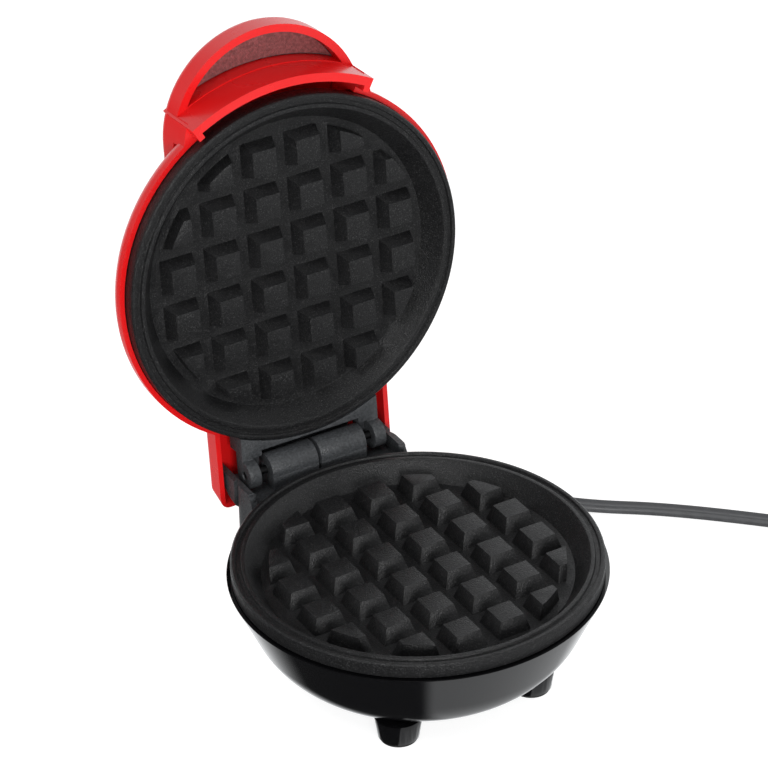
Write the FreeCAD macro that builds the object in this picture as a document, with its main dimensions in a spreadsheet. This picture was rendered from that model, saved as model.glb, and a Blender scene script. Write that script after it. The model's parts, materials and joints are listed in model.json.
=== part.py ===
"""Mini waffle maker: a round hinged appliance with one waffle plate in the base and one in the lid.

Frame: +Z up, millimetres.  The origin is on the table, under the middle of the outline that the
appliance has with its lid open, cord left out.  The front (handle side) faces -Y, the hinge is at
+Y and its axis runs along X.  Every piece is drawn about the centre of the round base and with the
lid closed.  Lid pieces are then turned about the hinge axis to the open stop, and all pieces are
moved forward together by base_forward.
"""
import FreeCAD, Part
import math
import os
import re

import Sketcher
from FreeCAD import Placement, Rotation, Vector

DOC = FreeCAD.newDocument("WaffleMaker")
SHEET = DOC.addObject("Spreadsheet::Sheet", "Sizes")

# Driving dimensions, millimetres and degrees.
SIZES = {
    # overall
    "base_forward": 21.87,       # centre of the round base in front of the origin
    "rim_height": 46.5,          # table to the rim of the lower plate
    "rim_gap": 0.8,              # between the two plate rims when closed
    "open_angle": 95.0,
    "hinge_back": 71.4,
    "hinge_height": 47.0,
    # cooking plates
    "plate_radius": 63.0,
    "plate_depth": 9.4,          # rim to underside of the floor
    "plate_floor": 2.5,          # floor thickness
    "plate_proud": 5.0,          # skirt height standing out of the housing
    "floor_radius": 52.8,
    "lip_radius": 57.5,
    "groove_outer": 61.4,
    "groove_inner": 59.4,
    "stud_pitch": 16.8,
    "stud_top": 8.9,
    "stud_base": 12.7,
    "stud_height": 5.75,
    "stud_circle": 50.0,
    # base housing
    "bowl_radius": 64.4,
    "bowl_top": 40.9,
    "bowl_waist": 56.5,
    "bowl_waist_height": 23.5,
    "bowl_foot": 31.0,
    "bowl_bottom": 6.0,
    "bowl_curve": 30.0,
    "wall": 2.4,
    # hinge housing behind the bowl
    "rear_half": 31.2,
    "rear_back": 74.6,
    "rear_corner": 8.0,
    "rear_round": 12.2,          # rounded back of the housing, about the hinge axis
    "rear_top": 46.3,
    "saddle_depth": 5.4,         # of the trough between the cheeks, below the rim
    "cheek_wall": 2.2,
    "column_radius": 4.0,        # columns that take the long housing screws
    "screw_bore": 1.7,
    # feet
    "foot_x": 26.0,
    "foot_front": 30.0,
    "foot_rear": 60.0,
    "foot_rear_x": 14.5,
    "foot_radius": 7.1,
    "foot_flare": 1.2,           # how much wider the foot is at its top
    "pad_height": 1.2,
    # lid shell
    "shell_radius": 65.0,
    "shell_wall": 1.8,
    "shell_edge": 52.4,
    "shell_shoulder": 54.5,
    "dome_rise": 19.5,
    "band_outer": 70.3,
    "band_inner": 67.2,
    "band_bottom": 47.5,
    "handle_radius": 36.2,
    "handle_centre": 48.8,
    "handle_wall": 2.8,
    "handle_bottom": 60.0,
    "handle_top": 70.5,
    "pocket_ceiling": 67.5,
    "pocket_back": 70.6,
    "hood_half": 34.2,
    "hood_wall": 1.8,
    "hood_end": 85.0,
    "hood_top": 62.0,
    "hood_lean": 3.4,            # how far the hood's end wall leans in towards its top
    "hood_round": 3.5,
    # hinge
    "barrel_radius": 5.6,
    "barrel_length": 18.0,
    "barrel_start": 0.6,
    "knuckle_inner": 19.3,
    "knuckle_outer": 27.0,
    "knuckle_radius": 5.0,
    "pin_radius": 1.5,
    # heating
    "boss_circle": 46.0,
    "element_radius": 30.0,
    "element_tube": 3.2,
    # cord
    "cord_diameter": 5.8,
    "cord_thickness": 3.4,       # of the flat twin lead, lying on its broad side
    "cord_exit_height": 13.6,
    "cord_exit_back": 62.0,
    "relief_length": 26.1,
    "coil_outer": 39.9,
    "coil_inner": 18.2,
    "coil_x": 200.3,
    "coil_y": 7.9,
}
for row, (alias, value) in enumerate(SIZES.items(), start=1):
    SHEET.set(f"A{row}", alias)
    SHEET.set(f"B{row}", str(value))
    SHEET.setAlias(f"B{row}", alias)
DOC.recompute()

X_AXIS = Vector(1, 0, 0)
Y_AXIS = Vector(0, 1, 0)
Z_AXIS = Vector(0, 0, 1)

PARTS = []          # finished sub-parts, one per node


def size(alias):
    """Value of one spreadsheet cell."""
    return float(SHEET.get(alias))


def cell(text):
    """Expression text in which each alias is read from the sheet."""
    return re.sub(r"[a-z_]+[0-9]*", lambda word: f"Sizes.{word[0]}" if word[0] in SIZES else word[0], text)


def number(text):
    """Value of an expression in the sheet's aliases."""
    return float(SHEET.evalExpression(cell(text)))


def bind(item, **expressions):
    """Bind properties; a double underscore in a name stands for a dot."""
    for name, text in expressions.items():
        item.setExpression(name.replace("__", "."), cell(str(text)))
    return item


def put(item, x="0", y="0", z="0"):
    """Bind the place of an object."""
    return bind(item, Placement__Base__x=x, Placement__Base__y=y, Placement__Base__z=z)


def box(x0, x1, y0, y1, z0, z1):
    """Block between two corners, each corner coordinate an expression."""
    item = DOC.addObject("Part::Box", "Block")
    bind(item, Length=f"( {x1} ) - ( {x0} )", Width=f"( {y1} ) - ( {y0} )", Height=f"( {z1} ) - ( {z0} )")
    return put(item, x0, y0, z0)


def cylinder(radius, height, x="0", y="0", z="0", axis="Z"):
    """Cylinder standing at x, y, z, or lying along X from there."""
    item = DOC.addObject("Part::Cylinder", "Round")
    bind(item, Radius=radius, Height=height)
    if axis == "X":
        item.Placement = Placement(Vector(), Rotation(Y_AXIS, 90))
    return put(item, x, y, z)


def cone(radius1, radius2, height, x="0", y="0", z="0", axis="Z"):
    """Cone standing at x, y, z, or lying along X from there."""
    item = DOC.addObject("Part::Cone", "Taper")
    bind(item, Radius1=radius1, Radius2=radius2, Height=height)
    if axis == "X":
        item.Placement = Placement(Vector(), Rotation(Y_AXIS, 90))
    return put(item, x, y, z)


def fuse(*items):
    """Union of several objects."""
    joined = DOC.addObject("Part::MultiFuse", "Union")
    joined.Shapes = list(items)
    joined.Refine = True
    return joined


def cut(base, *tools):
    """Base with every tool taken away."""
    item = DOC.addObject("Part::Cut", "Difference")
    item.Base = base
    item.Tool = tools[0] if len(tools) == 1 else fuse(*tools)
    item.Refine = True
    return item


def common(*items):
    """Space shared by several objects."""
    item = DOC.addObject("Part::MultiCommon", "Common")
    item.Shapes = list(items)
    return item


def group(*items):
    """Separate identical solids kept in one node."""
    item = DOC.addObject("Part::Compound", "Group")
    item.Links = list(items)
    return item


def round_edges(item, radius, chosen):
    """Fillet the edges for which chosen(edge) is true."""
    DOC.recompute()
    rounded = DOC.addObject("Part::Fillet", "Rounded")
    rounded.Base = item
    edges = [n for n, edge in enumerate(item.Shape.Edges, start=1) if chosen(edge)]
    rounded.Edges = [(n, radius, radius) for n in edges]
    return rounded


def revolved(profile, name="Turned"):
    """Body turned about Z from a closed outline of (radius, height[, arc radius]) expressions.

    A third entry makes the line that leaves the point an arc of that radius, bulging outwards.
    """
    body = DOC.addObject("PartDesign::Body", name)
    plane = next(f for f in body.Origin.OriginFeatures if f.Role == "XZ_Plane")
    sketch = body.newObject("Sketcher::SketchObject", name + "Outline")
    sketch.AttachmentSupport = [(plane, "")]
    sketch.MapMode = "FlatFace"
    sketch.recompute()
    corners = [Vector(number(point[0]), number(point[1]), 0) for point in profile]
    count = len(profile)
    for n, point in enumerate(profile):
        start = corners[n]
        end = corners[(n + 1) % count]
        if len(point) > 2:
            arc_radius = size(point[2])
            chord = end - start
            middle = (start + end) * 0.5
            sagitta = arc_radius - math.sqrt(arc_radius ** 2 - (chord.Length / 2) ** 2)
            outward = Vector(chord.y, -chord.x, 0).normalize()
            if outward.x < 0:
                outward = outward * -1
            sketch.addGeometry(Part.Arc(start, middle + outward * sagitta, end), False)
        else:
            sketch.addGeometry(Part.LineSegment(start, end), False)
    ends = []
    for n, point in enumerate(profile):
        arc = sketch.Geometry[n]
        forward = arc.StartPoint.distanceToPoint(corners[n]) < 1e-6
        ends.append((1, 2) if forward else (2, 1))
    for n in range(count):
        following = (n + 1) % count
        sketch.addConstraint(Sketcher.Constraint("Coincident", n, ends[n][1], following, ends[following][0]))
    for n, point in enumerate(profile):
        if abs(corners[n].x) < 1e-9:
            sketch.addConstraint(Sketcher.Constraint("PointOnObject", n, ends[n][0], -2))
        else:
            across = sketch.addConstraint(
                Sketcher.Constraint("DistanceX", -1, 1, n, ends[n][0], corners[n].x))
            sketch.setExpression(f"Constraints[{across}]", cell(point[0]))
        if abs(corners[n].y) < 1e-9:
            sketch.addConstraint(Sketcher.Constraint("PointOnObject", n, ends[n][0], -1))
        else:
            upward = sketch.addConstraint(
                Sketcher.Constraint("DistanceY", -1, 1, n, ends[n][0], corners[n].y))
            sketch.setExpression(f"Constraints[{upward}]", cell(point[1]))
        if len(point) > 2:
            bend = sketch.addConstraint(Sketcher.Constraint("Radius", n, size(point[2])))
            sketch.setExpression(f"Constraints[{bend}]", cell(point[2]))
    turned = body.newObject("PartDesign::Revolution", name + "Revolution")
    turned.Profile = sketch
    turned.ReferenceAxis = (sketch, ["V_Axis"])
    turned.Angle = 360
    DOC.recompute()
    return body


def finish(item, label, placement=Placement()):
    """Name a finished sub-part and give it its place in the model's frame."""
    item.Label = label
    item.Placement = MODEL.multiply(placement)
    PARTS.append(item)
    return item


# All pieces are drawn about the centre of the round base, which lies in front of the origin.
MODEL = Placement(Vector(0, -size("base_forward"), 0), Rotation())

# Lid placement: pieces drawn closed turn about the hinge axis to the open stop.
HINGE = Vector(0, size("hinge_back"), size("hinge_height"))
OPEN = Placement(Vector(), Rotation(X_AXIS, -size("open_angle")), HINGE)


FRONT_FEET = [("-foot_x", "-foot_front"), ("foot_x", "-foot_front")]
REAR_FEET = [("-foot_rear_x", "foot_rear"), ("foot_rear_x", "foot_rear")]
STEM_PLACES = ("-8.4", "8.4")
LID_COLUMNS = [(x, y) for x in ("-foot_x", "foot_x") for y in ("-foot_front", "foot_front")]
PLATE_BOSSES = [("boss_circle", "0"), ("0", "boss_circle"), ("-boss_circle", "0"), ("0", "-boss_circle")]


def cooking_plate(name):
    """Cast waffle plate, floor underside at z = 0, rim upwards; the same casting serves both halves."""
    rim = "plate_depth"
    dish = revolved([
        ("0", "0"),
        ("floor_radius + 1.4", "0"),
        ("lip_radius - 0.3", f"{rim} - 3.4"),
        ("plate_radius - 2.2", f"{rim} - 3"),
        ("plate_radius - 2.2", f"{rim} - plate_proud"),
        ("plate_radius", f"{rim} - plate_proud"),
        ("plate_radius", f"{rim} - 0.5"),
        ("plate_radius - 0.5", rim),
        ("groove_outer", rim),
        ("groove_outer - 0.3", f"{rim} - 0.8"),
        ("groove_inner + 0.3", f"{rim} - 0.8"),
        ("groove_inner", rim),
        ("lip_radius + 0.6", rim),
        ("lip_radius", f"{rim} - 0.9"),
        ("floor_radius", "plate_floor"),
        ("0", "plate_floor"),
    ], name)
    studs = []
    offsets = (-2.5, -1.5, -0.5, 0.5, 1.5, 2.5)
    taper = "( stud_base - stud_top ) / 2"
    for column in offsets:
        for line in offsets:
            if abs(column) + abs(line) > 4:
                continue
            stud = DOC.addObject("Part::Wedge", "Stud")
            bind(stud, Xmin="0", Zmin="0", Ymin="0", X2min=taper, Z2min=taper,
                 Xmax="stud_base", Zmax="stud_base", Ymax="stud_height + 0.5",
                 X2max=f"stud_base - {taper}", Z2max=f"stud_base - {taper}")
            stud.Placement = Placement(Vector(), Rotation(X_AXIS, 90))
            put(stud, f"{column} * stud_pitch - stud_base / 2", f"{line} * stud_pitch + stud_base / 2",
                "plate_floor - 0.5")
            studs.append(stud)
    field = cylinder("stud_circle", "stud_height + 0.5", z="plate_floor - 0.5")
    clipped = common(fuse(*studs), field)
    bosses = [cylinder("4.2", "1.5", x=x, y=y, z="-1") for x, y in PLATE_BOSSES]
    bores = [cylinder("1.35", "3", x=x, y=y, z="-1.5") for x, y in PLATE_BOSSES]
    return cut(fuse(dish, clipped, *bosses), *bores)


def element(name):
    """Tubular heater: an open ring with two terminal stems, ring centre plane at z = 0."""
    ring = DOC.addObject("Part::Torus", name)
    bind(ring, Radius1="element_radius", Radius2="element_tube")
    ring.Angle3 = 330
    ring.Placement = Placement(Vector(), Rotation(Z_AXIS, 105))
    stems = [cylinder("1.8", "9", x=x, y="element_radius - 1", z="0 - 9") for x in STEM_PLACES]
    return fuse(ring, *stems)


# ---------------------------------------------------------------- base pieces

def bowl(name, inset, top):
    """Solid of the bowl outline, drawn in by inset, up to the given height."""
    return revolved([
        ("0", f"bowl_bottom + {inset}"),
        (f"bowl_foot - {inset} / 2", f"bowl_bottom + {inset}", "bowl_curve"),
        (f"bowl_waist - {inset}", f"bowl_waist_height + {inset} / 3"),
        (f"bowl_radius - {inset}", top),
        ("0", top),
    ], name)


def make_base_housing():
    """Gloss bowl with its screw columns, open at the rear where the hinge housing joins."""
    shell = cut(bowl("BowlOuter", "0", "bowl_top"), bowl("BowlInner", "wall", "bowl_top"),
                cylinder("bowl_radius - wall", "6", z="bowl_top - 0.5"))
    rear_opening = box("-rear_half + wall", "rear_half - wall", "30", "80", "12", "bowl_top + 5")
    columns = common(fuse(*[cylinder("4", "26.2", x=x, y=y, z="7.6") for x, y in FRONT_FEET]),
                     bowl("ColumnTrim", "0.4", "bowl_top"))
    bores = [cylinder("1.7", "60", x=x, y=y, z="0") for x, y in FRONT_FEET]
    return finish(cut(fuse(cut(shell, rear_opening), columns), *bores), "base_housing")


def make_hinge_housing():
    """Textured housing behind the bowl: floor, walls, rounded back and the two cheeks beside the hinge."""
    block = round_edges(
        box("-rear_half", "rear_half", "20", "rear_back", "bowl_bottom", "rear_top"),
        size("rear_corner"),
        lambda edge: edge.BoundBox.ZLength > 10 and edge.BoundBox.YMin > 60)
    back = round_edges(
        cylinder("rear_round", "2 * rear_half", x="-rear_half", y="hinge_back", z="hinge_height", axis="X"),
        3.0, lambda edge: edge.BoundBox.XLength < 0.1)
    behind = box("-rear_half - 1", "rear_half + 1", "hinge_back", "100", "20", "rear_top")
    outer = fuse(block, common(back, behind))
    inner = box("-rear_half + wall", "rear_half - wall", "10", "rear_back - wall",
                "bowl_bottom + wall", "rim_height + 5")
    hollow_back = common(
        cylinder("rear_round - wall", "2 * rear_half - 2 * wall", x="-rear_half + wall", y="hinge_back",
                 z="hinge_height", axis="X"),
        box("-rear_half", "rear_half", "hinge_back - 2", "100", "20", "rim_height - saddle_depth - wall"))
    front = bowl("BowlClearance", "-0.15", "bowl_top")
    above = cylinder("bowl_radius + 0.3", "20", z="bowl_top - 0.1")
    saddle = box("-rear_half + cheek_wall", "rear_half - cheek_wall", "60", "100",
                 "rim_height - saddle_depth", "rim_height + 5")
    slope = box("-40", "40", "40", "80", "0", "8")
    slope.Placement = Placement(Vector(0, 0, 0), Rotation(X_AXIS, 57))
    put(slope, "0 - 40", "57.9", "rim_height - saddle_depth - 0.1")
    entry = cylinder("3.9", "10", x="rear_half - 6", y="cord_exit_back", z="cord_exit_height", axis="X")
    columns = [cylinder("column_radius", "25.4", x=x, y=y, z="bowl_bottom + 1") for x, y in REAR_FEET]
    bores = [cylinder("screw_bore", "60", x=x, y=y, z="0") for x, y in REAR_FEET]
    bumps = [cylinder("1.3", "7.6", x=side, y="60.8", z="rim_height - 8")
             for side in ("-rear_half + 1.4", "rear_half - 1.4")]
    shell = cut(outer, inner, hollow_back, front, above, saddle, slope, entry)
    trimmed = cut(fuse(*bumps), front, above)
    return finish(cut(fuse(shell, trimmed, *columns), *bores), "hinge_housing")


def make_feet():
    """Round tapered posts under the housing, their rubber pads and the long screws inside."""
    posts = []
    pads = []
    screws = []
    for side, y in FRONT_FEET + REAR_FEET:
        top = "bowl_bottom + 3.4" if y.startswith("-") else "bowl_bottom - 0.02"
        post = cone("foot_radius", "foot_radius + foot_flare", f"{top} - pad_height", x=side, y=y, z="pad_height")
        well = cylinder("3.4", "bowl_bottom - 2", x=side, y=y, z="0")
        bore = cylinder("1.7", "20", x=side, y=y, z="0")
        posts.append(cut(post, well, bore))
        pads.append(cylinder("foot_radius - 0.7", "pad_height - 0.02", x=side, y=y, z="0"))
        head = cylinder("2.9", "2", x=side, y=y, z="2")
        shank = cylinder("1.5", "32", x=side, y=y, z="3.9")
        screws.append(fuse(head, shank))
    bowl_body = bowl("FootTrim", "-0.05", "bowl_top")
    trimmed = [cut(posts[0], bowl_body), cut(posts[1], bowl_body), posts[2], posts[3]]
    finish(group(*trimmed), "foot_posts")
    finish(group(*pads), "rubber_pads")
    finish(group(*screws), "housing_screws")


def make_base_frame():
    """Heat-resistant ring under the lower plate, with the rear deck and the two hinge barrels."""
    ring = revolved([
        ("36", "rim_height - 12.5"),
        ("58.2", "rim_height - 12.5"),
        ("59.6", "rim_height - 9.5"),
        ("61.3", "rim_height - 6"),
        ("61.6", "rim_height - plate_proud - 0.1"),
        ("58.2", "rim_height - plate_proud - 0.1"),
        ("58.2", "rim_height - 10.5"),
        ("36", "rim_height - 10.5"),
    ], "BaseRing")
    deck = cut(box("-rear_half + wall + 0.2", "rear_half - wall - 0.2", "45", "rear_back - wall - 0.2",
                   "rim_height - 9", "rim_height - 5.6"),
               cylinder("plate_radius - 2", "20", z="rim_height - 12"))
    tongue = box("-24", "24", "52", "66", "rim_height - 9", "rim_height - 5.9")
    posts = [cylinder("4", "5.2", x=x, y=y, z="rim_height - 13.9") for x, y in REAR_FEET]
    barrels = []
    for start in ("-barrel_start - barrel_length", "barrel_start"):
        barrel = cylinder("barrel_radius", "barrel_length", x=start, y="hinge_back", z="hinge_height", axis="X")
        web = box(start, f"( {start} ) + barrel_length", "hinge_back - barrel_radius", "rear_back - wall - 0.2",
                  "rim_height - 8", "hinge_height - 1")
        barrels += [barrel, web]
    bore = cylinder("pin_radius + 0.05", "80", x="-40", y="hinge_back", z="hinge_height", axis="X")
    bores = [cylinder("1.55", "20", x=x, y=y, z="rim_height - 15") for x, y in FRONT_FEET + REAR_FEET]
    screw_holes = [cylinder("1.5", "6", x=x, y=y, z="rim_height - 14") for x, y in PLATE_BOSSES]
    body = fuse(ring, deck, cut(tongue, cylinder("59", "20", z="rim_height - 12")), *posts, *barrels)
    return finish(cut(body, bore, *bores, *screw_holes), "base_frame")


def screw(x, y, z, head, shank):
    """Pan-head screw pointing up from z, where its head meets the work."""
    top = cylinder("2.8", head, x=x, y=y, z=f"{z} - {head}")
    body = cylinder("1.3", f"{shank} + 0.1", x=x, y=y, z=f"{z} - 0.1")
    return fuse(top, body)


def plate_screws():
    """Four short screws up into the plate bosses; local z = 0 at the plate floor's underside."""
    return group(*[screw(x, y, "0 - 3.15", "1.3", "4.4") for x, y in PLATE_BOSSES])


def reflector(name):
    """Thin steel heat shield with holes for the screw columns; local z = 0 at its flat face."""
    dish = revolved([
        ("0", "0"),
        ("42", "0"),
        ("46", "2.5"),
        ("47", "2.5"),
        ("47", "3"),
        ("45.6", "3"),
        ("41.6", "0.5"),
        ("0", "0.5"),
    ], name)
    holes = [cylinder("5", "8", x=x, y=y, z="0 - 2") for x, y in LID_COLUMNS]
    holes += [cylinder("3", "8", x=x, y="element_radius - 1", z="0 - 2") for x in STEM_PLACES]
    holes.append(cylinder("9", "8", z="0 - 2"))
    return cut(dish, *holes)


def up(distance):
    """Placement straight up by a distance."""
    return Placement(Vector(0, 0, distance), Rotation())


def make_lower_heating():
    """Lower plate and everything that hangs under it."""
    floor_level = size("rim_height") - size("plate_depth")
    finish(cooking_plate("LowerDish"), "lower_cooking_plate", up(floor_level))
    finish(element("LowerElement"), "lower_heating_element", up(floor_level - size("element_tube") - 0.05))
    finish(reflector("LowerDishShield"), "lower_heat_reflector", up(floor_level - 12))
    finish(plate_screws(), "lower_plate_screws", up(floor_level))


def make_base_electrics():
    """Thermostat, fuse, terminal block, wiring and the cord clamp inside the base."""
    level = "rim_height - plate_depth"
    disc = cylinder("7.5", "4", z=f"{level} - 4.2")
    cap = cylinder("6", "3", z=f"{level} - 7.1")
    blades = [box(x0, x1, "-2", "2", f"{level} - 10", f"{level} - 7") for x0, x1 in (("-5", "-4.2"), ("4.2", "5"))]
    finish(fuse(disc, cap, *blades), "thermostat")
    finish(group(cylinder("1.6", "12", x="-18", y="14", z=f"{level} - 1.9", axis="X")), "thermal_fuse")
    block = box("-10", "10", "50", "58", "bowl_bottom + wall + 0.1", "bowl_bottom + wall + 9")
    ports = [cylinder("1.6", "8.2", x=x, y="54", z="bowl_bottom + wall + 3") for x in ("-6", "0", "6")]
    finish(cut(block, *ports), "terminal_block")
    clamp = box("21.9", "25.9", "cord_exit_back - 6", "cord_exit_back + 6", "bowl_bottom + wall + 0.1",
                "cord_exit_height + 4.5")
    channel = cylinder("2.7", "12", x="17.9", y="cord_exit_back", z="cord_exit_height", axis="X")
    finish(cut(clamp, channel), "cord_clamp")


def wire(points, radius):
    """Insulated wire along straight runs joined by tangent arcs."""
    path = rounded_path([Vector(*p) for p in points])
    start = Part.Edge(path.Edges[0])
    circle = Part.Wire([Part.Circle(start.valueAt(start.FirstParameter),
                                    start.tangentAt(start.FirstParameter), radius).toShape()])
    return path.makePipeShell([circle], True, True)


def rounded_path(points):
    """Wire of straight runs joined by tangent arcs, each as large as its shorter run allows."""
    edges = []
    here = points[0]
    for before, corner, after in zip(points, points[1:], points[2:]):
        inward = (before - corner).normalize()
        outward = (after - corner).normalize()
        turn = math.pi - inward.getAngle(outward)
        reach = 0.45 * min(before.distanceToPoint(corner), after.distanceToPoint(corner))
        radius = reach / math.tan(turn / 2)
        first = corner + inward * reach
        last = corner + outward * reach
        bisector = (inward + outward).normalize()
        centre_distance = reach / math.cos((math.pi - turn) / 2)
        middle = corner + bisector * (centre_distance - radius)
        edges.append(Part.LineSegment(here, first).toShape())
        edges.append(Part.Arc(first, middle, last).toShape())
        here = last
    edges.append(Part.LineSegment(here, points[-1]).toShape())
    return Part.Wire(edges)


def feature(shape, name):
    """Document object that holds a shape made with Part's own functions."""
    item = DOC.addObject("Part::Feature", name)
    item.Shape = shape
    return item


def make_base_wiring():
    """Insulated leads from the terminal block to the heater, thermostat and hinge."""
    runs = [
        [(-6, 50, 14.5), (-6, 41, 14.5), (-8.4, 33, 18), (-8.4, 29.5, 24.2)],
        [(6, 50, 14.5), (6, 41, 14.5), (8.4, 33, 18), (8.4, 29.5, 24.2)],
        [(0, 50, 14.5), (0, 38, 14.5), (-2, 14, 18), (-4.6, 3.2, 26.5)],
        [(26.1, 62, 13.6), (20.7, 62, 13.6), (20.3, 54, 13.6), (10.2, 53.4, 13.6)],
    ]
    wires = [feature(wire(run, 1.1), "Lead") for run in runs]
    finish(group(*wires), "base_wiring")


# ---------------------------------------------------------------- cord

CORD_ROUTE = [
    (57.3, 62.0, 13.6),
    (72.0, 61.5, 10.2),
    (86.0, 57.5, 4.8),
    (101.0, 48.5, 2.9),
    (122.0, 33.5, 2.9),
    (148.0, 9.5, 2.9),
    (174.0, -19.0, 2.9),
]


def make_cord():
    """Strain relief, free cord, its stored coil and the plug lying on the coil."""
    relief = cone("3.8", "cord_diameter / 2 + 0.2", "relief_length", x="rear_half", y="cord_exit_back",
                  z="cord_exit_height", axis="X")
    flange = cylinder("3.8", "4.8", x="rear_half - 4.7", y="cord_exit_back", z="cord_exit_height", axis="X")
    collar = cylinder("4.8", "1.6", x="rear_half - wall - 1.7", y="cord_exit_back", z="cord_exit_height", axis="X")
    finish(fuse(relief, flange, collar), "cord_strain_relief")
    radius = size("cord_diameter") / 2
    points = [Vector(*p) for p in CORD_ROUTE]
    path = rounded_path(points)
    print("cord arc radii:", [round(edge.Curve.Radius, 1) for edge in path.Edges[1::2]])
    section = Part.Wire([Part.Circle(points[0], points[1] - points[0], radius).toShape()])
    tube = path.makePipeShell([section], True, True)
    print("cord tube volume ratio:", round(tube.Volume / (math.pi * radius ** 2 * path.Length), 4),
          "length", round(path.Length, 1))
    ring = cut(cylinder("coil_outer", "cord_thickness", x="coil_x", y="coil_y", z="0"),
               cylinder("coil_inner", "20", x="coil_x", y="coil_y", z="-5"))
    entry = cylinder("coil_outer", "20", x="coil_x", y="coil_y", z="-5")
    relief_end = box("0", "rear_half + relief_length", "40", "80", "0", "30")
    finish(cut(feature(tube, "CordTube"), entry, relief_end), "power_cord")
    finish(ring, "cord_coil")


def make_plug():
    """Flat two-blade plug resting on top of the coil, with its tapered cord end."""
    level = "cord_thickness + 0.02"
    line = "coil_y - 27"
    body = round_edges(
        box("coil_x + 4", "coil_x + 30", f"{line} - 10", f"{line} + 10", level, f"{level} + 12"),
        3.0, lambda edge: edge.BoundBox.XLength > 20)
    tail = cone("2.9", "4.6", "14", x="coil_x - 9.9", y=line, z=f"{level} + 6", axis="X")
    finish(fuse(body, tail), "power_plug")
    blades = [box("coil_x + 30", "coil_x + 47", f"{line} + {y} - 0.75", f"{line} + {y} + 0.75",
                  f"{level} + 3", f"{level} + 9") for y in ("-6.35", "6.35")]
    finish(group(*blades), "plug_blades")


# ---------------------------------------------------------------- lid pieces, drawn closed

def make_lid_shell():
    """Gloss lid: dome, front band, handle with its finger pocket, and the rear hood."""
    def dome(radius, rise, name):
        half = DOC.addObject("Part::Ellipsoid", name)
        bind(half, Radius1=rise, Radius2=radius)
        half.Angle1 = 0
        put(half, z="shell_shoulder")
        return half

    skirt = cylinder("shell_radius", "shell_shoulder - shell_edge", z="shell_edge")
    band = cut(cylinder("band_outer", "handle_top - band_bottom - 2", z="band_bottom"),
               sector_complement(29.5))
    plan = fuse(cylinder("handle_radius", "handle_top - handle_bottom", y="-handle_centre", z="handle_bottom"),
                box("-handle_radius", "handle_radius", "-handle_centre", "-12", "handle_bottom", "handle_top"))
    front = round_edges(plan, 3.6, lambda edge: edge.BoundBox.ZMin > size("handle_top") - 0.01
                        and edge.BoundBox.YMin < -20 and not (edge.BoundBox.YLength < 0.1))
    hood = round_edges(
        hood_block("0", "0"), size("hood_round"),
        lambda edge: edge.BoundBox.ZMax > size("shell_edge") + 0.1
        and (edge.BoundBox.YMin > size("hood_end") - 8 or edge.BoundBox.ZMin > size("hood_top") - 0.01)
        and edge.BoundBox.YMax > size("hood_end") - size("hood_lean") - 0.1)
    shoulder = cut(
        common(cylinder("handle_radius", "handle_bottom - shell_edge + 1", y="-handle_centre", z="shell_edge"),
               sector_complement(28.5)),
        cylinder("shell_radius - 0.9", "40", z="shell_edge - 5"))
    plate_room = cylinder("shell_radius + 0.2", "20", z="shell_edge - 20")
    outer = fuse(skirt, dome("shell_radius", "dome_rise", "DomeOuter"), hood, cut(band, plate_room), front,
                 shoulder)
    hollow = fuse(cylinder("shell_radius - shell_wall", "shell_shoulder - shell_edge + 0.1", z="shell_edge - 0.1"),
                  dome("shell_radius - shell_wall", "dome_rise - shell_wall - 0.4", "DomeInner"))
    band_hollow = cut(cylinder("band_inner", "handle_top - band_bottom - 3.5", z="band_bottom - 0.5"),
                      sector_complement(27.5))
    pocket = cut(cylinder("handle_radius - handle_wall", "pocket_ceiling - handle_bottom + 5",
                          y="-handle_centre", z="handle_bottom - 5"),
                 cylinder("pocket_back", "60", z="rim_height - 10"))
    lamp_hole = cylinder("3.1", "20", y="-18", z="rim_height + 20")
    shell = cut(outer, hollow, band_hollow, pocket, hood_block("hood_wall", "0.5"), lamp_hole)
    bosses = common(fuse(*[cylinder("4", "30", x=x, y=y, z="rim_height + 13.4") for x, y in LID_COLUMNS]),
                    dome("shell_radius - 1", "dome_rise - 1", "BossTrim"))
    pilot = [cylinder("1.35", "8", x=x, y=y, z="rim_height + 12") for x, y in LID_COLUMNS]
    return finish(cut(fuse(shell, bosses), *pilot), "lid_shell", OPEN)


def hood_block(inset, lower):
    """Block of the rear hood with its leaning end wall, drawn in by inset and starting lower than the mouth."""
    block = DOC.addObject("Part::Wedge", "Hood")
    width = f"2 * ( hood_half - {inset} )"
    bind(block, Xmin="0", Ymin="0", Zmin="0", X2min="0.4", Z2min="hood_lean", Xmax=width, Zmax="65",
         Ymax=f"hood_top - shell_edge - {inset} + {lower}", X2max=f"{width} - 0.4", Z2max="65")
    block.Placement = Placement(Vector(), Rotation(X_AXIS, 90))
    return put(block, f"0 - hood_half + {inset}", f"hood_end - {inset} + {lower} * 0.35", f"shell_edge - {lower}")


def sector_complement(half_angle):
    """Everything except the front sector of the given half angle."""
    side = box("0 - 120", "120", "-120", "120", "0", "120")
    wedge = DOC.addObject("Part::Cylinder", "Sector")
    bind(wedge, Radius="110", Height="130")
    wedge.Angle = 2 * half_angle
    wedge.Placement = Placement(Vector(0, 0, -5), Rotation(Z_AXIS, -90 - half_angle))
    return cut(side, wedge)


def make_handle_insert():
    """Textured crescent that lines the roof of the finger pocket."""
    disc = cylinder("handle_radius - handle_wall - 0.2", "1.0", y="-handle_centre", z="pocket_ceiling - 1.05")
    return finish(cut(disc, cylinder("pocket_back + 0.2", "60", z="rim_height - 10")), "handle_insert", OPEN)


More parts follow.
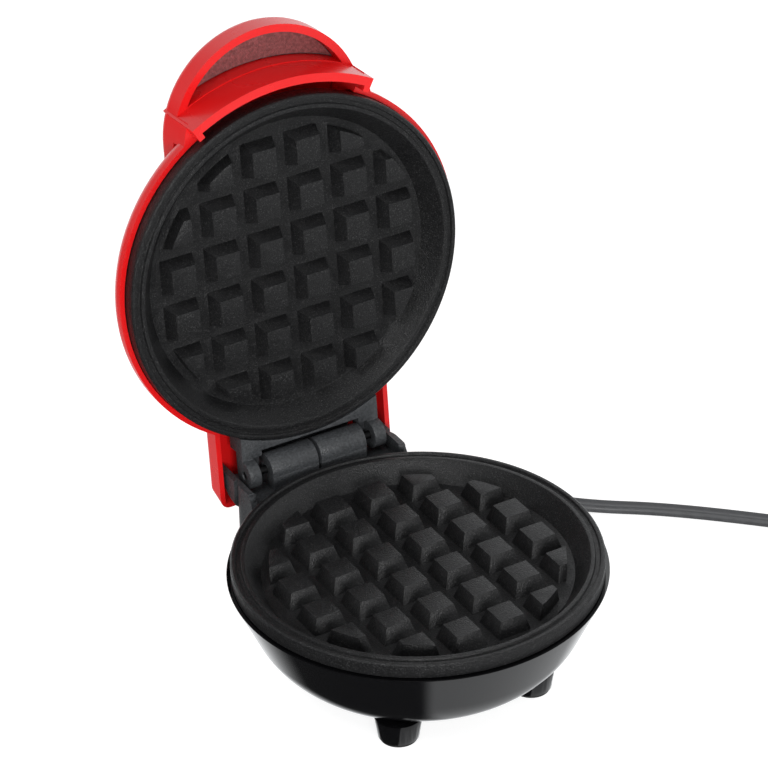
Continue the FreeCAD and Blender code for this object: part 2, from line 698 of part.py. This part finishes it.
def make_lid_frame():
    """Heat-resistant ring behind the upper plate, with the rear tab and the two outer knuckles."""
    base = "rim_height + rim_gap"
    ring = revolved([
        ("36", f"{base} + 10.5"),
        ("58.2", f"{base} + 10.5"),
        ("58.2", f"{base} + plate_proud + 0.1"),
        ("plate_radius - 0.6", f"{base} + plate_proud + 0.1"),
        ("plate_radius - 0.6", f"{base} + 7.6"),
        ("plate_radius - 3.6", f"{base} + 11.6"),
        ("plate_radius - 3.6", f"{base} + 12.5"),
        ("36", f"{base} + 12.5"),
    ], "LidRing")
    tab = cut(box("-knuckle_outer", "knuckle_outer", "40", "64", f"{base} + 0.2", "rim_height + 9.5"),
              cylinder("plate_radius + 0.3", "plate_proud + 0.3", z=f"{base} - 0.2"),
              cylinder("58.3", "8", z=f"{base} + 3"))
    knuckles = []
    for start in ("-knuckle_outer", "knuckle_inner"):
        end = f"( {start} ) + knuckle_outer - knuckle_inner"
        arm = box(start, end, "60", "hinge_back", f"{base} + 0.2", "hinge_height + knuckle_radius")
        eye = cylinder("knuckle_radius", "knuckle_outer - knuckle_inner", x=start, y="hinge_back",
                       z="hinge_height", axis="X")
        knuckles += [arm, eye]
    slots = [box(start, f"( {start} ) + 3.4", "66", "hinge_back + 8", "hinge_height - 8", "hinge_height + 3")
             for start in ("-knuckle_inner - 3.4", "knuckle_inner")]
    bore = cylinder("pin_radius + 0.1", "80", x="-40", y="hinge_back", z="hinge_height", axis="X")
    holes = [cylinder("1.5", "8", x=x, y=y, z="rim_height + 9") for x, y in LID_COLUMNS + PLATE_BOSSES]
    return finish(cut(fuse(ring, tab, *knuckles), bore, *slots, *holes), "lid_frame", OPEN)


def make_upper_heating():
    """Upper plate and everything fixed behind it."""
    back = size("rim_height") + size("rim_gap") + size("plate_depth")
    flipped = OPEN.multiply(Placement(Vector(0, 0, back), Rotation(Y_AXIS, 180)))
    finish(cooking_plate("UpperDish"), "upper_cooking_plate", flipped)
    finish(element("UpperElement"), "upper_heating_element",
           flipped.multiply(up(-size("element_tube") - 0.05)))
    finish(reflector("UpperDishShield"), "upper_heat_reflector", flipped.multiply(up(-9)))
    finish(plate_screws(), "upper_plate_screws", flipped)
    heads = [screw(x, y, "rim_height + rim_gap + plate_depth + 1.05", "0.9", "7") for x, y in LID_COLUMNS]
    finish(group(*heads), "lid_screws", OPEN)


def make_lamp():
    """Pilot lamp under the lid's crown and its lens."""
    lens = fuse(cylinder("3", "4.4", y="-18", z="rim_height + 22.6"),
                cylinder("4.2", "1", y="-18", z="rim_height + 22.2"))
    finish(lens, "lamp_lens", OPEN)
    finish(group(cylinder("1.7", "2.6", y="-18", z="rim_height + 19.4")), "pilot_lamp", OPEN)


def make_hinge_pin():
    """Steel pin through both barrels and both knuckles."""
    pin = cylinder("pin_radius", "2 * knuckle_outer - 1", x="-knuckle_outer + 0.5", y="hinge_back",
                   z="hinge_height", axis="X")
    return finish(group(pin), "hinge_pin")


make_base_housing()
make_hinge_housing()
make_feet()
make_base_frame()
make_lower_heating()
make_base_electrics()
make_base_wiring()
make_cord()
make_plug()
make_hinge_pin()
make_lid_shell()
make_handle_insert()
make_lid_frame()
make_upper_heating()
make_lamp()
DOC.recompute()

failed = [item.Label for item in DOC.Objects if "Invalid" in item.State or "Error" in item.State]
if failed:
    raise RuntimeError(f"objects that did not recompute: {failed}")
os.makedirs("parts", exist_ok=True)
for item in PARTS:
    if item.Shape.isNull() or not item.Shape.isValid():
        raise RuntimeError(f"{item.Label} has no valid shape")
    print(f"{item.Label:26s} solids {len(item.Shape.Solids)}  volume {item.Shape.Volume / 1000:8.2f} cm3")
for item in PARTS:
    item.Shape.exportStep(os.path.join("parts", item.Label + ".step"))
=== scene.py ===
import json
import math

import bmesh
import bpy
from mathutils import Matrix, Vector

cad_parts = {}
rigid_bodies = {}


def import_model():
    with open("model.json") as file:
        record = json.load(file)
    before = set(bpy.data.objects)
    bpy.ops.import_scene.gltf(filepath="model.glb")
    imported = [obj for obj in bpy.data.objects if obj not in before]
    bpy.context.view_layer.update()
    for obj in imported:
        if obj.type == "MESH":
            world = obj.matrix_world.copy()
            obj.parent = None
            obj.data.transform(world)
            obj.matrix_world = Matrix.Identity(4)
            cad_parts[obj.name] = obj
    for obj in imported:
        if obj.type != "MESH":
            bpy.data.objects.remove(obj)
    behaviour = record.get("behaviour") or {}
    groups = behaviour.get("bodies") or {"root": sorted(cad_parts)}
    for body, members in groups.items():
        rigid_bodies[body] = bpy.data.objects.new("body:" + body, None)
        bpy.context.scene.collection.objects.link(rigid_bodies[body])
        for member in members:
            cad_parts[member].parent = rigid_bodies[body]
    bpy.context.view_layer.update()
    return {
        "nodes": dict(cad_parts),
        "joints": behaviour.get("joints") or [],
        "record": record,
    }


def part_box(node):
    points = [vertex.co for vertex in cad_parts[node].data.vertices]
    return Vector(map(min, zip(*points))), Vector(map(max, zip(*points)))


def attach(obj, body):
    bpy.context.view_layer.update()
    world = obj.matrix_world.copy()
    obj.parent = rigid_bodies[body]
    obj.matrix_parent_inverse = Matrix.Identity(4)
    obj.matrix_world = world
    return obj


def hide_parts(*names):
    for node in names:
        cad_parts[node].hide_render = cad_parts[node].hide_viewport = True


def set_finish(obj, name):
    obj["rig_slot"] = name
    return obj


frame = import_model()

MM = 0.001

NODES = frame["nodes"]
PLATE_LOW, PLATE_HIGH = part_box("lower_cooking_plate")
CENTRE_Y = (PLATE_LOW.y + PLATE_HIGH.y) / 2          # centre of the round base
HINGE = Vector(frame["joints"][0]["pos_m"])
OPEN_ANGLE = math.radians(95)
# Closed to open: a lid point drawn with the lid closed, about the centre of the base.
LID_OPEN = (Matrix.Translation(HINGE) @ Matrix.Rotation(-OPEN_ANGLE, 4, "X")
            @ Matrix.Translation(-HINGE) @ Matrix.Translation((0, CENTRE_Y, 0)))


# ---------------------------------------------------------------- camera

def make_camera():
    """Long lens from the front left, looking down on the open appliance."""
    azimuth, elevation, roll = (math.radians(a) for a in (-29.86, 32.388, -1.151))
    distance = 1.383
    aim = Vector((0.0064, 0.0316 + CENTRE_Y, 0.0948))
    back = Vector((math.sin(azimuth) * math.cos(elevation),
                   -math.cos(azimuth) * math.cos(elevation), math.sin(elevation)))
    level_right = Vector((math.cos(azimuth), math.sin(azimuth), 0))
    level_up = back.cross(level_right)
    right = math.cos(roll) * level_right + math.sin(roll) * level_up
    up = math.cos(roll) * level_up - math.sin(roll) * level_right
    data = bpy.data.cameras.new("camera")
    data.sensor_width = 36
    data.lens = 193.44
    data.clip_start = 0.05
    camera = bpy.data.objects.new("camera", data)
    turned = Matrix((right, up, back)).transposed().to_4x4()
    camera.matrix_world = Matrix.Translation(aim + back * distance) @ turned
    bpy.context.scene.collection.objects.link(camera)
    bpy.context.scene.camera = camera


make_camera()


# ---------------------------------------------------------------- mesh helpers

def mesh_piece(name, bm, body, material_slot, smooth_angle=35):
    """Object from a bmesh, shaded smooth except over sharp edges, riding on a body."""
    bmesh.ops.recalc_face_normals(bm, faces=bm.faces)
    data = bpy.data.meshes.new(name)
    bm.to_mesh(data)
    bm.free()
    piece = bpy.data.objects.new(name, data)
    bpy.context.scene.collection.objects.link(piece)
    smooth(piece, smooth_angle)
    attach(piece, body)
    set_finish(piece, material_slot)
    return piece


def smooth(piece, angle):
    """Smooth shading with edges sharper than the angle left crisp."""
    for face in piece.data.polygons:
        face.use_smooth = True
    piece.data.set_sharp_from_angle(angle=math.radians(angle))


# ---------------------------------------------------------------- power cord

CORD_WIDTH = 5.8 * MM
CORD_THICKNESS = 3.35 * MM
LYING = CORD_THICKNESS / 2 + 0.05 * MM      # height of the lead's middle where it lies on the table
# Route from the strain relief to the coil, about the centre of the base.
CORD_ROUTE = [
    (0.0573, 0.0620, 0.0136),
    (0.0720, 0.0615, 0.0102),
    (0.0860, 0.0575, 0.0048),
    (0.1010, 0.0485, LYING),
    (0.1220, 0.0335, LYING),
    (0.1480, 0.0095, LYING),
    (0.1740, -0.0190, LYING),
]
COIL_CENTRE = Vector((0.2003, 0.0079))
COIL_START_RADIUS = 36.9 * MM
COIL_INNER_RADIUS = 20.9 * MM
COIL_START_ANGLE = math.radians(234)
COIL_TURNS = 2.7
COIL_STEPS = 14                             # points in each turn


def coil_points():
    """Flat spiral inwards, counter-clockwise, each turn one lead's width inside the last."""
    points = []
    count = round(COIL_TURNS * COIL_STEPS)
    for n in range(count + 1):
        share = n / count
        radius = COIL_START_RADIUS + (COIL_INNER_RADIUS - COIL_START_RADIUS) * share
        angle = COIL_START_ANGLE + share * COIL_TURNS * math.tau
        points.append((COIL_CENTRE.x + radius * math.cos(angle),
                       COIL_CENTRE.y + radius * math.sin(angle), LYING))
    return points


def tail_points():
    """The lead climbs off the inner turn, over the outer ones and into the plug's tail."""
    plug_low, plug_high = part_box("power_plug")
    line = Vector((plug_low.x, (plug_low.y + plug_high.y) / 2 - CENTRE_Y, plug_low.z + 6 * MM))
    end_angle = math.degrees(COIL_START_ANGLE) + COIL_TURNS * 360
    climb = [(20, 20.7, 2.6), (42, 20.8, 4.6), (64, 21.6, 6.2), (86, 23.6, 7.4), (103, 26.8, 8.4)]
    points = []
    for turn, radius, height in climb:
        angle = math.radians(end_angle + turn)
        points.append((COIL_CENTRE.x + radius * MM * math.cos(angle),
                       COIL_CENTRE.y + radius * MM * math.sin(angle), height * MM))
    points.append((line.x - 4 * MM, line.y + 0.6 * MM, line.z))
    points.append((line.x + 4 * MM, line.y, line.z))
    return points


def make_cord():
    """Flat two-core lead as one smooth curve with a figure-of-eight section."""
    outline = bpy.data.curves.new("lead_outline", "CURVE")
    outline.dimensions = "2D"
    core = CORD_THICKNESS / 2 / MM                  # millimetres: each point of the lead scales it by MM
    reach = CORD_WIDTH / 2 / MM - core
    section = outline.splines.new("NURBS")
    ring = []
    for side in (1, -1):
        for step in range(7):
            angle = math.radians(-75 + 25 * step) + (0 if side > 0 else math.pi)
            ring.append((side * reach + core * math.cos(angle), core * math.sin(angle) * 1.03))
        ring.append((0, side * core * 0.62))
    section.points.add(len(ring) - 1)
    for point, (across, high) in zip(section.points, ring):
        point.co = (across, high, 0, 1)
    section.use_cyclic_u = True
    section.order_u = 3
    profile = bpy.data.objects.new("lead_outline", outline)
    bpy.context.scene.collection.objects.link(profile)
    profile.hide_render = True
    profile.hide_viewport = True
    curve = bpy.data.curves.new("power_lead", "CURVE")
    curve.dimensions = "3D"
    curve.twist_mode = "Z_UP"
    spline = curve.splines.new("NURBS")
    route = CORD_ROUTE[:-1] + coil_points() + tail_points()
    spline.points.add(len(route) - 1)
    for point, (x, y, z) in zip(spline.points, route):
        point.co = (x, y + CENTRE_Y, z, 1)
        point.radius = MM
    spline.order_u = 3
    spline.use_endpoint_u = True
    curve.resolution_u = 6
    curve.bevel_mode = "OBJECT"
    curve.bevel_object = profile
    curve.use_fill_caps = True
    lead = bpy.data.objects.new("power_lead", curve)
    bpy.context.scene.collection.objects.link(lead)
    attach(lead, "base")
    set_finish(lead, "cord_pvc")
    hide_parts("power_cord", "cord_coil")


make_cord()


# ---------------------------------------------------------------- detail pieces

def revolved_piece(name, outline, place, body, material_slot, steps=40):
    """Solid turned about the +X axis from (along, radius) points, then placed."""
    bm = bmesh.new()
    rings = []
    for along, radius in outline:
        rings.append([bm.verts.new((along * MM, radius * MM * math.cos(turn), radius * MM * math.sin(turn)))
                      for turn in (math.tau * n / steps for n in range(steps))])
    for ring, after in zip(rings, rings[1:]):
        for n in range(steps):
            bm.faces.new((ring[n], ring[n - 1], after[n - 1], after[n]))
    bm.faces.new(rings[0])
    bm.faces.new(rings[-1])
    bm.transform(place)
    return mesh_piece(name, bm, body, material_slot)


def slab(name, outline, low, high, place, body, material_slot, rounding=0.3):
    """Upright slab over a flat (x, y) outline, its edges rounded."""
    bm = bmesh.new()
    corners = [bm.verts.new((x * MM, y * MM, low * MM)) for x, y in outline]
    face = bm.faces.new(corners)
    risen = bmesh.ops.extrude_face_region(bm, geom=[face])
    lifted = [item for item in risen["geom"] if isinstance(item, bmesh.types.BMVert)]
    bmesh.ops.translate(bm, vec=(0, 0, (high - low) * MM), verts=lifted)
    if rounding:
        sharp = [edge for edge in bm.edges if edge.calc_face_angle(0) > math.radians(30)]
        bmesh.ops.bevel(bm, geom=sharp, offset=rounding * MM, segments=2, affect="EDGES", profile=0.5)
    bm.transform(place)
    return mesh_piece(name, bm, body, material_slot)


# Relief ribs, pocket lining and plug ridges: millimetres, like the helpers above.
RIB_COUNT = 8
RIB_PITCH = 2.7
RIB_RADIUS = 4.35
RIB_TAPER = 0.085               # each rib's radius is this much less than the one before
RIB_DEPTH = 0.9
RIB_WIDTH = 1.6
RIB_CHAMFER = 0.25
RIBBED_LENGTH = 24              # from the cord's end of the strain relief to the first rib


def make_relief_ribs():
    """Bend-relief ribs around the strain relief, smaller towards the cord."""
    low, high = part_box("cord_strain_relief")
    centre = (low + high) / 2
    for n in range(RIB_COUNT):
        radius = RIB_RADIUS - RIB_TAPER * n
        outline = [(0, radius - RIB_DEPTH), (RIB_CHAMFER, radius),
                   (RIB_WIDTH - RIB_CHAMFER, radius), (RIB_WIDTH, radius - RIB_DEPTH)]
        start = high.x - RIBBED_LENGTH * MM + n * RIB_PITCH * MM
        place = Matrix.Translation((start, centre.y, centre.z))
        revolved_piece(f"relief_rib_{n + 1}", outline, place, "base", "cord_pvc")


def make_hinge_cover():
    """Flange of the lid frame behind the barrels, which closes the gap above them."""
    half, front, back = 18.8, 63.5, 74.2
    outline = [(-half, front), (half, front), (half, back), (-half, back)]
    slab("hinge_cover", outline, 54.5, 55.9, LID_OPEN, "lid", "textured_black")


def make_pocket_lining():
    """Thin grained skin over the roof of the finger pocket: a crescent between two circles."""
    ring, middle = 33.0, -48.8              # handle's circle and its centre
    back = 71.1                             # circle of the pocket's back wall, about the base
    span = math.degrees(math.acos((back ** 2 - ring ** 2 - middle ** 2) / (2 * ring * -middle)))
    far = [(ring * math.sin(math.radians(a)), middle - ring * math.cos(math.radians(a)))
           for a in (-span + 2 * span * n / 40 for n in range(41))]
    near_span = math.degrees(math.asin(far[-1][0] / back))
    near = [(back * math.sin(math.radians(a)), -back * math.cos(math.radians(a)))
            for a in (near_span - 2 * near_span * n / 30 for n in range(1, 30))]
    return slab("pocket_lining", far + near, 66.15, 66.4, LID_OPEN, "lid", "textured_black", 0)


RIDGE_COUNT = 6
RIDGE_PITCH = 2.2
RIDGE_WIDTH = 1.1
RIDGE_HALF_DEPTH = 1.0
RIDGE_INSET = 3.2               # from the plug's top and bottom faces
PLUG_BODY_LENGTH = 26


def make_plug_ridges():
    """Grip ridges on both sides of the plug body."""
    low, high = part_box("power_plug")
    middle = (low + high) / 2
    body_start = high.x / MM - PLUG_BODY_LENGTH
    for side, name in ((-1, "left"), (1, "right")):
        for n in range(RIDGE_COUNT):
            x = body_start + 4 + n * RIDGE_PITCH
            y = middle.y / MM + side * 9.4
            outline = [(x, y - RIDGE_HALF_DEPTH), (x + RIDGE_WIDTH, y - RIDGE_HALF_DEPTH),
                       (x + RIDGE_WIDTH, y + RIDGE_HALF_DEPTH), (x, y + RIDGE_HALF_DEPTH)]
            slab(f"plug_ridge_{n + 1}_{name}", outline, low.z / MM + RIDGE_INSET,
                 high.z / MM - RIDGE_INSET, Matrix(), "base", "cord_pvc", 0.25)


make_relief_ribs()
make_hinge_cover()
LINING = make_pocket_lining()
make_plug_ridges()


# ---------------------------------------------------------------- materials

class Recipe:
    """Node material under construction: one shader, object coordinates in metres."""

    def __init__(self, name, colour, roughness):
        self.material = bpy.data.materials.new(name)
        self.material.use_nodes = True
        self.tree = self.material.node_tree
        self.shader = self.tree.nodes["Principled BSDF"]
        self.shader.inputs["Base Color"].default_value = (*colour, 1)
        self.shader.inputs["Roughness"].default_value = roughness
        self.place = self.node("ShaderNodeTexCoord").outputs["Object"]

    def node(self, kind, **settings):
        """New node with its settings; sockets are given by name."""
        made = self.tree.nodes.new(kind)
        for key, value in settings.items():
            if key in made.inputs:
                made.inputs[key].default_value = value
            else:
                setattr(made, key, value)
        return made

    def link(self, source, target):
        """Connect two sockets."""
        self.tree.links.new(source, target)

    def noise(self, scale, detail=2.0, rough=0.5):
        """Noise value between 0 and 1, scale in features per metre."""
        made = self.node("ShaderNodeTexNoise", Detail=detail, Roughness=rough)
        made.inputs["Scale"].default_value = scale
        self.link(self.place, made.inputs["Vector"])
        return made.outputs["Fac"]

    def cells(self, scale):
        """Distance to the nearest cell point."""
        made = self.node("ShaderNodeTexVoronoi")
        made.inputs["Scale"].default_value = scale
        self.link(self.place, made.inputs["Vector"])
        return made.outputs["Distance"]

    def span(self, value, low, high, to_low, to_high):
        """Value between low and high mapped to another span."""
        made = self.node("ShaderNodeMapRange")
        for key, number in (("From Min", low), ("From Max", high), ("To Min", to_low), ("To Max", to_high)):
            made.inputs[key].default_value = number
        self.link(value, made.inputs["Value"])
        return made.outputs["Result"]

    def ramp(self, value, *stops):
        """Colour ramp through (place, colour) stops."""
        made = self.node("ShaderNodeValToRGB")
        elements = made.color_ramp.elements
        while len(elements) < len(stops):
            elements.new(0.5)
        for element, (place, colour) in zip(elements, stops):
            element.position = place
            element.color = (*colour, 1)
        self.link(value, made.inputs["Fac"])
        return made.outputs["Color"]

    def bump(self, height, distance, strength=1.0, below=None):
        """Bump from a height value, on top of an earlier bump."""
        made = self.node("ShaderNodeBump")
        made.inputs["Strength"].default_value = strength
        made.inputs["Distance"].default_value = distance
        self.link(height, made.inputs["Height"])
        if below is not None:
            self.link(below, made.inputs["Normal"])
        return made.outputs["Normal"]

    def set(self, **sockets):
        """Plain values on the shader's own sockets, underscores for spaces."""
        for key, value in sockets.items():
            self.shader.inputs[key.replace("_", " ")].default_value = value
        return self


def gloss_plastic(name, colour, roughness, coat):
    """Moulded gloss plastic: faint flow waviness, handling haze and fine dust marks."""
    recipe = Recipe(name, colour, roughness)
    haze = recipe.noise(38, 4)
    recipe.link(recipe.span(haze, 0.35, 0.75, roughness * 0.8, roughness * 1.5),
                recipe.shader.inputs["Roughness"])
    darker = tuple(c * 0.93 for c in colour)
    recipe.link(recipe.ramp(recipe.noise(22, 3), (0.3, darker), (0.7, colour)),
                recipe.shader.inputs["Base Color"])
    waves = recipe.bump(recipe.noise(60, 1), 0.00003, 0.15)
    recipe.link(waves, recipe.shader.inputs["Normal"])
    recipe.set(Coat_Weight=coat, Coat_Roughness=0.04, Specular_IOR_Level=0.42)
    return recipe.material


def textured_plastic(name, colour, roughness, grain=1900, depth=0.00009):
    """Spark-eroded matte plastic: dense small grain that catches the light."""
    recipe = Recipe(name, colour, roughness)
    grains = recipe.cells(grain)
    cloud = recipe.noise(grain * 0.6, 3, 0.6)
    lighter = tuple(c * 1.9 + 0.006 for c in colour)
    recipe.link(recipe.ramp(cloud, (0.38, colour), (0.72, lighter)), recipe.shader.inputs["Base Color"])
    recipe.link(recipe.span(grains, 0.0, 0.7, roughness - 0.12, roughness + 0.12),
                recipe.shader.inputs["Roughness"])
    first = recipe.bump(grains, depth * 1.3, 0.9)
    recipe.link(recipe.bump(cloud, depth * 0.8, 0.6, first), recipe.shader.inputs["Normal"])
    recipe.set(Specular_IOR_Level=0.5)
    return recipe.material


def nonstick_coating(name):
    """Sprayed non-stick coat over a cast surface: orange peel, and pale specks in its colour that are
    painted glints.
    """
    base = (0.0068, 0.0068, 0.0072)
    recipe = Recipe(name, base, 0.38)
    # Pale specks in the base colour: painted highlight, small glints of light painted into the coat rather
    # than lit.
    painted_glints = recipe.noise(2300, 2, 0.7)
    stops = (0.46, base), (0.6, (0.015, 0.015, 0.0155)), (0.76, (0.075, 0.075, 0.075))
    recipe.link(recipe.ramp(painted_glints, *stops), recipe.shader.inputs["Base Color"])
    recipe.link(recipe.span(recipe.noise(700, 2), 0.3, 0.7, 0.3, 0.44), recipe.shader.inputs["Roughness"])
    peel = recipe.bump(recipe.noise(1700, 2, 0.6), 0.0002, 0.9)
    grain = recipe.bump(recipe.cells(2600), 0.00009, 0.8, peel)
    recipe.link(grain, recipe.shader.inputs["Normal"])
    recipe.set(Specular_IOR_Level=0.32)
    return recipe.material


def soft_rubber(name, colour, roughness):
    """Matte flexible PVC or rubber with a slight extruded grain."""
    recipe = Recipe(name, colour, roughness)
    cloud = recipe.noise(420, 3, 0.6)
    lighter = tuple(c * 1.35 for c in colour)
    recipe.link(recipe.ramp(cloud, (0.3, colour), (0.75, lighter)), recipe.shader.inputs["Base Color"])
    recipe.link(recipe.bump(recipe.noise(1400, 2), 0.00003, 0.5), recipe.shader.inputs["Normal"])
    recipe.link(recipe.span(cloud, 0.3, 0.7, roughness - 0.06, roughness + 0.08),
                recipe.shader.inputs["Roughness"])
    return recipe.material


def plain_metal(name, colour, roughness, grain=900):
    """Sheet or turned metal with a fine brushed break-up."""
    recipe = Recipe(name, colour, roughness)
    marks = recipe.noise(grain, 4, 0.65)
    darker = tuple(c * 0.72 for c in colour)
    recipe.link(recipe.ramp(marks, (0.3, darker), (0.65, colour)), recipe.shader.inputs["Base Color"])
    recipe.link(recipe.span(marks, 0.25, 0.75, roughness * 0.75, roughness * 1.4),
                recipe.shader.inputs["Roughness"])
    recipe.link(recipe.bump(marks, 0.00002, 0.4), recipe.shader.inputs["Normal"])
    recipe.set(Metallic=1.0)
    return recipe.material


def hard_ceramic(name, colour):
    """Pressed ceramic or phenolic with faint mottling."""
    recipe = Recipe(name, colour, 0.55)
    darker = tuple(c * 0.85 for c in colour)
    recipe.link(recipe.ramp(recipe.noise(600, 4), (0.35, darker), (0.65, colour)),
                recipe.shader.inputs["Base Color"])
    recipe.link(recipe.bump(recipe.noise(2400, 2), 0.00004, 0.6), recipe.shader.inputs["Normal"])
    return recipe.material


def lamp_glass(name):
    """Tinted translucent lens with a lightly frosted inner face."""
    recipe = Recipe(name, (0.85, 0.22, 0.1), 0.22)
    recipe.link(recipe.span(recipe.noise(500, 2), 0.3, 0.7, 0.16, 0.3), recipe.shader.inputs["Roughness"])
    recipe.set(Transmission_Weight=0.55, IOR=1.49, Coat_Weight=0.4)
    return recipe.material


MATERIALS = {
    "gloss_black": gloss_plastic("gloss_black", (0.0035, 0.0035, 0.004), 0.09, 0.5),
    "gloss_red": gloss_plastic("gloss_red", (0.76, 0.009, 0.01), 0.24, 0.12),
    "textured_black": textured_plastic("textured_black", (0.031, 0.033, 0.0355), 0.42),
    "nonstick": nonstick_coating("nonstick"),
    "heater_steel": plain_metal("heater_steel", (0.33, 0.31, 0.29), 0.42),
    "shield_steel": plain_metal("shield_steel", (0.62, 0.62, 0.62), 0.26),
    "screw_steel": plain_metal("screw_steel", (0.5, 0.5, 0.49), 0.3),
    # Near-black pin steel: painted shade, the pin darkened so that it reads as the dark slot between barrel
    # and knuckles.
    "pin_steel": plain_metal("pin_steel", (0.03, 0.03, 0.031), 0.45),
    # Dark grained insert: its red tint is painted reflection of the red handle around the finger pocket.
    "pocket_grain": textured_plastic("pocket_grain", (0.16, 0.045, 0.045), 0.5, 1500, 0.00014),
    "pad_rubber": soft_rubber("pad_rubber", (0.012, 0.012, 0.012), 0.72),
    "cord_pvc": soft_rubber("cord_pvc", (0.052, 0.053, 0.056), 0.42),
    "wire_silicone": soft_rubber("wire_silicone", (0.6, 0.56, 0.5), 0.6),
    "ceramic": hard_ceramic("ceramic", (0.74, 0.7, 0.62)),
    "blade_brass": plain_metal("blade_brass", (0.66, 0.55, 0.3), 0.25),
    "lens": lamp_glass("lens"),
}


def dress(piece, slot):
    """Give an object its material."""
    piece.data.materials.clear()
    piece.data.materials.append(MATERIALS[slot])


def soften(piece, width, join_flats):
    """Small moulded rounding on the sharp edges of a CAD node, its flat facets joined first if asked."""
    weld = piece.modifiers.new("weld", "WELD")
    weld.merge_threshold = 0.002 * MM
    if join_flats:
        flat = piece.modifiers.new("flat", "DECIMATE")
        flat.decimate_type = "DISSOLVE"
        flat.angle_limit = math.radians(0.8)
    bevel = piece.modifiers.new("bevel", "BEVEL")
    bevel.width = width
    bevel.segments = 2
    bevel.limit_method = "ANGLE"
    bevel.angle_limit = math.radians(30)
    bevel.harden_normals = True
    bevel.miter_outer = "MITER_ARC"


for part in frame["record"]["subparts"]:
    dress(NODES[part["node"]], part["material_slot"])
    smooth(NODES[part["node"]], 32)
for piece in bpy.data.objects:
    if piece.type in ("MESH", "CURVE") and "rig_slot" in piece and not piece.data.materials:
        dress(piece, piece["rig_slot"])
# The pocket lining's dark grain carries a red tint that is painted reflection of the red handle.
dress(LINING, "pocket_grain")
for softened in ("lower_cooking_plate", "upper_cooking_plate"):
    soften(NODES[softened], 0.35 * MM, False)
for softened, rounding in (("lid_frame", 0.4), ("base_frame", 0.4), ("foot_posts", 0.6)):
    soften(NODES[softened], rounding * MM, True)


# ---------------------------------------------------------------- floor and light

def make_floor():
    """Wide pale table."""
    bm = bmesh.new()
    half = 40.0
    outline = ((-half, -half), (half, -half), (half, half), (-half, half))
    bm.faces.new([bm.verts.new((x, y, 0)) for x, y in outline])
    data = bpy.data.meshes.new("table_top")
    bm.to_mesh(data)
    bm.free()
    floor = bpy.data.objects.new("table_top", data)
    bpy.context.scene.collection.objects.link(floor)
    recipe = Recipe("pale_table", (0.5, 0.5, 0.5), 0.8)
    recipe.link(recipe.ramp(recipe.noise(6, 2), (0.3, (0.48, 0.48, 0.48)), (0.7, (0.52, 0.52, 0.52))),
                recipe.shader.inputs["Base Color"])
    recipe.set(Specular_IOR_Level=0.0, Emission_Color=(1, 1, 1, 1), Emission_Strength=0.82)
    data.materials.append(recipe.material)
    floor.visible_glossy = False


LIT_SPOT = Vector((0, 0, 0.08))
# Level directions across the view: to its right, and away from the camera.
VIEW_RIGHT = (0.867, -0.498, 0)
VIEW_AWAY = (0.498, 0.867, 0)


def softbox(name, place, size, power):
    """Rectangular soft light that points at the appliance."""
    data = bpy.data.lights.new(name, "AREA")
    data.shape = "RECTANGLE"
    data.size, data.size_y = size
    data.energy = power
    light = bpy.data.objects.new(name, data)
    bpy.context.scene.collection.objects.link(light)
    light.location = place
    light.rotation_euler = (LIT_SPOT - Vector(place)).to_track_quat("-Z", "Y").to_euler()


def make_light():
    """Surround that is dark low on the left and bright behind, with softboxes above and beside."""
    scene = bpy.context.scene
    world = bpy.data.worlds.new("surround")
    world.use_nodes = True
    tree = world.node_tree
    direction = tree.nodes.new("ShaderNodeTexCoord").outputs["Generated"]

    def along(axis, low, high, dark, bright):
        """Brightness that rises along an axis of the surround."""
        dot = tree.nodes.new("ShaderNodeVectorMath")
        dot.operation = "DOT_PRODUCT"
        dot.inputs[1].default_value = axis
        tree.links.new(direction, dot.inputs[0])
        spread = tree.nodes.new("ShaderNodeMapRange")
        spread.interpolation_type = "SMOOTHSTEP"
        for key, number in (("From Min", low), ("From Max", high), ("To Min", dark), ("To Max", bright)):
            spread.inputs[key].default_value = number
        tree.links.new(dot.outputs["Value"], spread.inputs["Value"])
        return spread.outputs["Result"]

    def brighter(first, second):
        """The larger of two brightness values."""
        larger = tree.nodes.new("ShaderNodeMath")
        larger.operation = "MAXIMUM"
        tree.links.new(first, larger.inputs[0])
        tree.links.new(second, larger.inputs[1])
        return larger.outputs["Value"]

    right_half = along(VIEW_RIGHT, 0.0, 0.08, 0.02, 0.5)
    behind = along(VIEW_AWAY, 0.35, 0.85, 0.0, 1.1)
    above = along((0, 0, 1), -0.12, 0.1, 0.0, 0.43)
    strength = tree.nodes["Background"].inputs["Strength"]
    tree.links.new(brighter(brighter(right_half, behind), above), strength)
    tree.nodes["Background"].inputs["Color"].default_value = (0.97, 0.985, 1, 1)
    scene.world = world
    softbox("key_light", (-0.9, -0.5, 1.5), (0.5, 0.5), 5)
    softbox("front_light", (-0.5, -1.3, 0.45), (0.5, 0.4), 11)
    softbox("top_light", (0.1, 0.5, 1.7), (1.3, 0.8), 1.5)
    softbox("side_light", (1.3, -0.5, 0.7), (0.6, 1.0), 2.5)
    scene.view_settings.view_transform = "Standard"
    scene.view_settings.look = "None"


make_floor()
make_light()
